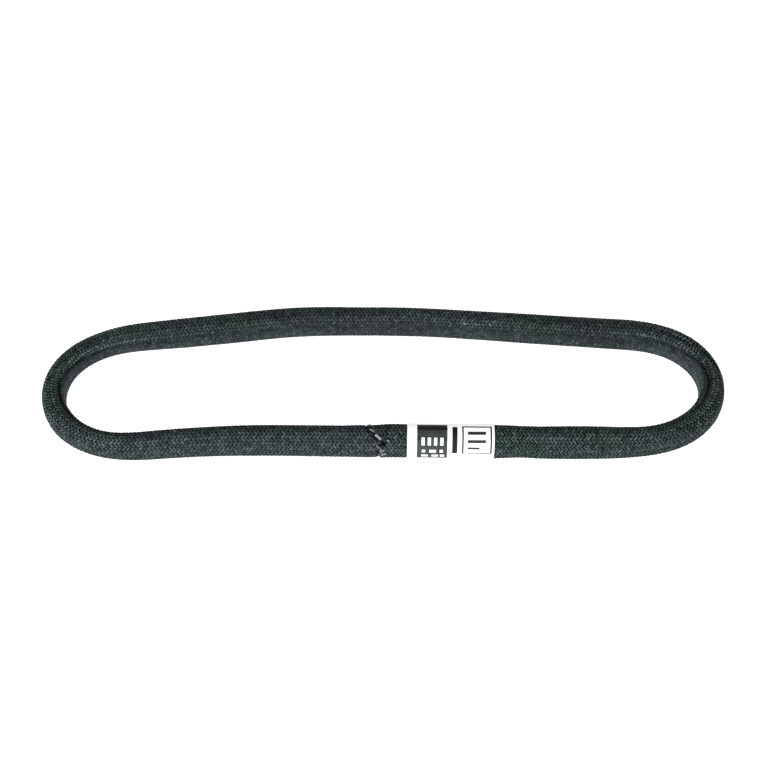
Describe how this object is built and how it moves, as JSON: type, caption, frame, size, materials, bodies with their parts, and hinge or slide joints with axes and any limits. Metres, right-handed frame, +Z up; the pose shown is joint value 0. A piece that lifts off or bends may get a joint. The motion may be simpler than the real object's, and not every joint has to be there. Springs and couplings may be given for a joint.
{
  "type": "round sling",
  "caption": "Small endless round sling: yarn core in a dark braided tubular cover with a stitched overlap and a white label sleeve, laid as a long oval.",
  "frame": {"origin": "centre of the loop's footprint, on the surface it rests on", "axes": "+X along the loop's length, labelled leg on -Y, +Z up"},
  "size_m": [0.2262, 0.065, 0.011],
  "materials": {
    "cover_braid": "braided polyester yarn, dark green-grey, low sheen",
    "core_yarn": "twisted high-modulus yarn, off-white",
    "binding_thread": "waxed whipping thread",
    "seam_thread": "light grey-green sewing thread",
    "label": "white shrink sleeve, satin",
    "label_ink": "printed dark grey panel, flat"
  },
  "bodies": {
    "right_arms": {"cover_right_arms": "cover_braid", "core_right_arms": "core_yarn"},
    "right_bend_1": {"cover_right_bend_1": "cover_braid", "core_right_bend_1": "core_yarn"},
    "right_bend_2": {"cover_right_bend_2": "cover_braid", "core_right_bend_2": "core_yarn"},
    "right_bight": {"cover_right_bight": "cover_braid", "core_right_bight": "core_yarn"},
    "front_right_leg": {"cover_front_right_leg": "cover_braid", "core_front_right_leg": "core_yarn"},
    "front_mid": {"cover_front_mid": "cover_braid", "core_front_mid": "core_yarn", "cover_inner_end": "cover_braid", "core_binding": "binding_thread", "seam_stitching": "seam_thread", "label_sleeve": "label"},
    "front_fold_1": {"cover_front_fold_1": "cover_braid", "core_front_fold_1": "core_yarn"},
    "front_fold_2": {"cover_front_fold_2": "cover_braid", "core_front_fold_2": "core_yarn"},
    "front_fold_3": {"cover_front_fold_3": "cover_braid", "core_front_fold_3": "core_yarn"},
    "front_left_mid": {"cover_front_left_mid": "cover_braid", "core_front_left_mid": "core_yarn"},
    "front_left_leg": {"cover_front_left_leg": "cover_braid", "core_front_left_leg": "core_yarn"},
    "left_arms": {"cover_left_arms": "cover_braid", "core_left_arms": "core_yarn"},
    "left_bend_1": {"cover_left_bend_1": "cover_braid", "core_left_bend_1": "core_yarn"},
    "left_bend_2": {"cover_left_bend_2": "cover_braid", "core_left_bend_2": "core_yarn"},
    "left_bight": {"cover_left_bight": "cover_braid", "core_left_bight": "core_yarn"},
    "rear_left_leg": {"cover_rear_left_leg": "cover_braid", "core_rear_left_leg": "core_yarn"},
    "rear_left_mid": {"cover_rear_left_mid": "cover_braid", "core_rear_left_mid": "core_yarn"},
    "rear_fold_3": {"cover_rear_fold_3": "cover_braid", "core_rear_fold_3": "core_yarn"},
    "rear_fold_2": {"cover_rear_fold_2": "cover_braid", "core_rear_fold_2": "core_yarn"},
    "rear_fold_1": {"cover_rear_fold_1": "cover_braid", "core_rear_fold_1": "core_yarn"},
    "rear_mid": {"cover_rear_mid": "cover_braid", "core_rear_mid": "core_yarn"},
    "rear_mid_right": {"cover_rear_mid_right": "cover_braid", "core_rear_mid_right": "core_yarn"},
    "rear_right_leg": {"cover_rear_right_leg": "cover_braid", "core_rear_right_leg": "core_yarn"}
  },
  "joints": [
    {"name": "leg_spread", "type": "hinge", "parent": "right_arms", "child": "front_right_leg", "pos_m": [0.066, -0.02539, 0.0055], "axis": [0, 0, 1], "range_deg": [-22, 22]},
    {"name": "front_right_knee", "type": "hinge", "parent": "front_right_leg", "child": "front_mid", "pos_m": [0.041, -0.02539, 0.0055], "axis": [0, 0, 1], "range_deg": [-22, 22]},
    {"name": "mid_fold", "type": "hinge", "parent": "front_mid", "child": "front_fold_1", "pos_m": [-0.009, -0.02539, 0.0055], "axis": [0, 1, 0], "range_deg": [-30, 30]},
    {"name": "front_fold_b", "type": "hinge", "parent": "front_fold_1", "child": "front_fold_2", "pos_m": [-0.017, -0.02539, 0.0055], "axis": [0, 1, 0], "range_deg": [-30, 30]},
    {"name": "front_fold_c", "type": "hinge", "parent": "front_fold_2", "child": "front_fold_3", "pos_m": [-0.025, -0.02539, 0.0055], "axis": [0, 1, 0], "range_deg": [-30, 30]},
    {"name": "front_fold_d", "type": "hinge", "parent": "front_fold_3", "child": "front_left_mid", "pos_m": [-0.033, -0.02539, 0.0055], "axis": [0, 1, 0], "range_deg": [-30, 30]},
    {"name": "front_left_knee", "type": "hinge", "parent": "front_left_mid", "child": "front_left_leg", "pos_m": [-0.041, -0.02539, 0.0055], "axis": [0, 0, 1], "range_deg": [-22, 22]},
    {"name": "front_left_hip", "type": "hinge", "parent": "front_left_leg", "child": "left_arms", "pos_m": [-0.066, -0.02539, 0.0055], "axis": [0, 0, 1], "range_deg": [-22, 22]},
    {"name": "left_end_curl", "type": "hinge", "parent": "left_arms", "child": "left_bend_1", "pos_m": [-0.075, 0, 0.0055], "axis": [0, 1, 0], "range_deg": [-30, 30]},
    {"name": "left_curl_b", "type": "hinge", "parent": "left_bend_1", "child": "left_bend_2", "pos_m": [-0.0855, 0, 0.0055], "axis": [0, 1, 0], "range_deg": [-30, 30]},
    {"name": "left_curl_c", "type": "hinge", "parent": "left_bend_2", "child": "left_bight", "pos_m": [-0.096, 0, 0.0055], "axis": [0, 1, 0], "range_deg": [-30, 30]},
    {"name": "rear_left_hip", "type": "hinge", "parent": "left_arms", "child": "rear_left_leg", "pos_m": [-0.066, 0.02539, 0.0055], "axis": [0, 0, 1], "range_deg": [-22, 22]},
    {"name": "rear_left_knee", "type": "hinge", "parent": "rear_left_leg", "child": "rear_left_mid", "pos_m": [-0.041, 0.02539, 0.0055], "axis": [0, 0, 1], "range_deg": [-22, 22]},
    {"name": "rear_fold_d", "type": "hinge", "parent": "rear_left_mid", "child": "rear_fold_3", "pos_m": [-0.033, 0.02539, 0.0055], "axis": [0, 1, 0], "range_deg": [-30, 30]},
    {"name": "rear_fold_c", "type": "hinge", "parent": "rear_fold_3", "child": "rear_fold_2", "pos_m": [-0.025, 0.02539, 0.0055], "axis": [0, 1, 0], "range_deg": [-30, 30]},
    {"name": "rear_fold_b", "type": "hinge", "parent": "rear_fold_2", "child": "rear_fold_1", "pos_m": [-0.017, 0.02539, 0.0055], "axis": [0, 1, 0], "range_deg": [-30, 30]},
    {"name": "rear_fold_a", "type": "hinge", "parent": "rear_fold_1", "child": "rear_mid", "pos_m": [-0.009, 0.02539, 0.0055], "axis": [0, 1, 0], "range_deg": [-30, 30]},
    {"name": "right_end_curl", "type": "hinge", "parent": "right_arms", "child": "right_bend_1", "pos_m": [0.075, 0, 0.0055], "axis": [0, -1, 0], "range_deg": [-30, 30]},
    {"name": "right_curl_b", "type": "hinge", "parent": "right_bend_1", "child": "right_bend_2", "pos_m": [0.0855, 0, 0.0055], "axis": [0, -1, 0], "range_deg": [-30, 30]},
    {"name": "right_curl_c", "type": "hinge", "parent": "right_bend_2", "child": "right_bight", "pos_m": [0.096, 0, 0.0055], "axis": [0, -1, 0], "range_deg": [-30, 30]},
    {"name": "rear_right_hip", "type": "hinge", "parent": "right_arms", "child": "rear_right_leg", "pos_m": [0.066, 0.02539, 0.0055], "axis": [0, 0, 1], "range_deg": [-22, 22]},
    {"name": "rear_right_knee", "type": "hinge", "parent": "rear_right_leg", "child": "rear_mid_right", "pos_m": [0.041, 0.02539, 0.0055], "axis": [0, 0, 1], "range_deg": [-22, 22]}
  ],
  "couplings": [
    {"joint": "front_right_knee", "follows": "leg_spread", "ratio": -1},
    {"joint": "front_fold_b", "follows": "mid_fold", "ratio": 1},
    {"joint": "front_fold_c", "follows": "mid_fold", "ratio": 1},
    {"joint": "front_fold_d", "follows": "mid_fold", "ratio": 1},
    {"joint": "front_left_knee", "follows": "leg_spread", "ratio": -1},
    {"joint": "front_left_hip", "follows": "leg_spread", "ratio": 1},
    {"joint": "left_curl_b", "follows": "left_end_curl", "ratio": 1},
    {"joint": "left_curl_c", "follows": "left_end_curl", "ratio": 1},
    {"joint": "rear_left_hip", "follows": "leg_spread", "ratio": 1},
    {"joint": "rear_left_knee", "follows": "leg_spread", "ratio": -1},
    {"joint": "rear_fold_d", "follows": "mid_fold", "ratio": -1},
    {"joint": "rear_fold_c", "follows": "mid_fold", "ratio": -1},
    {"joint": "rear_fold_b", "follows": "mid_fold", "ratio": -1},
    {"joint": "rear_fold_a", "follows": "mid_fold", "ratio": -1},
    {"joint": "right_curl_b", "follows": "right_end_curl", "ratio": 1},
    {"joint": "right_curl_c", "follows": "right_end_curl", "ratio": 1},
    {"joint": "rear_right_hip", "follows": "leg_spread", "ratio": -1},
    {"joint": "rear_right_knee", "follows": "leg_spread", "ratio": 1}
  ]
}
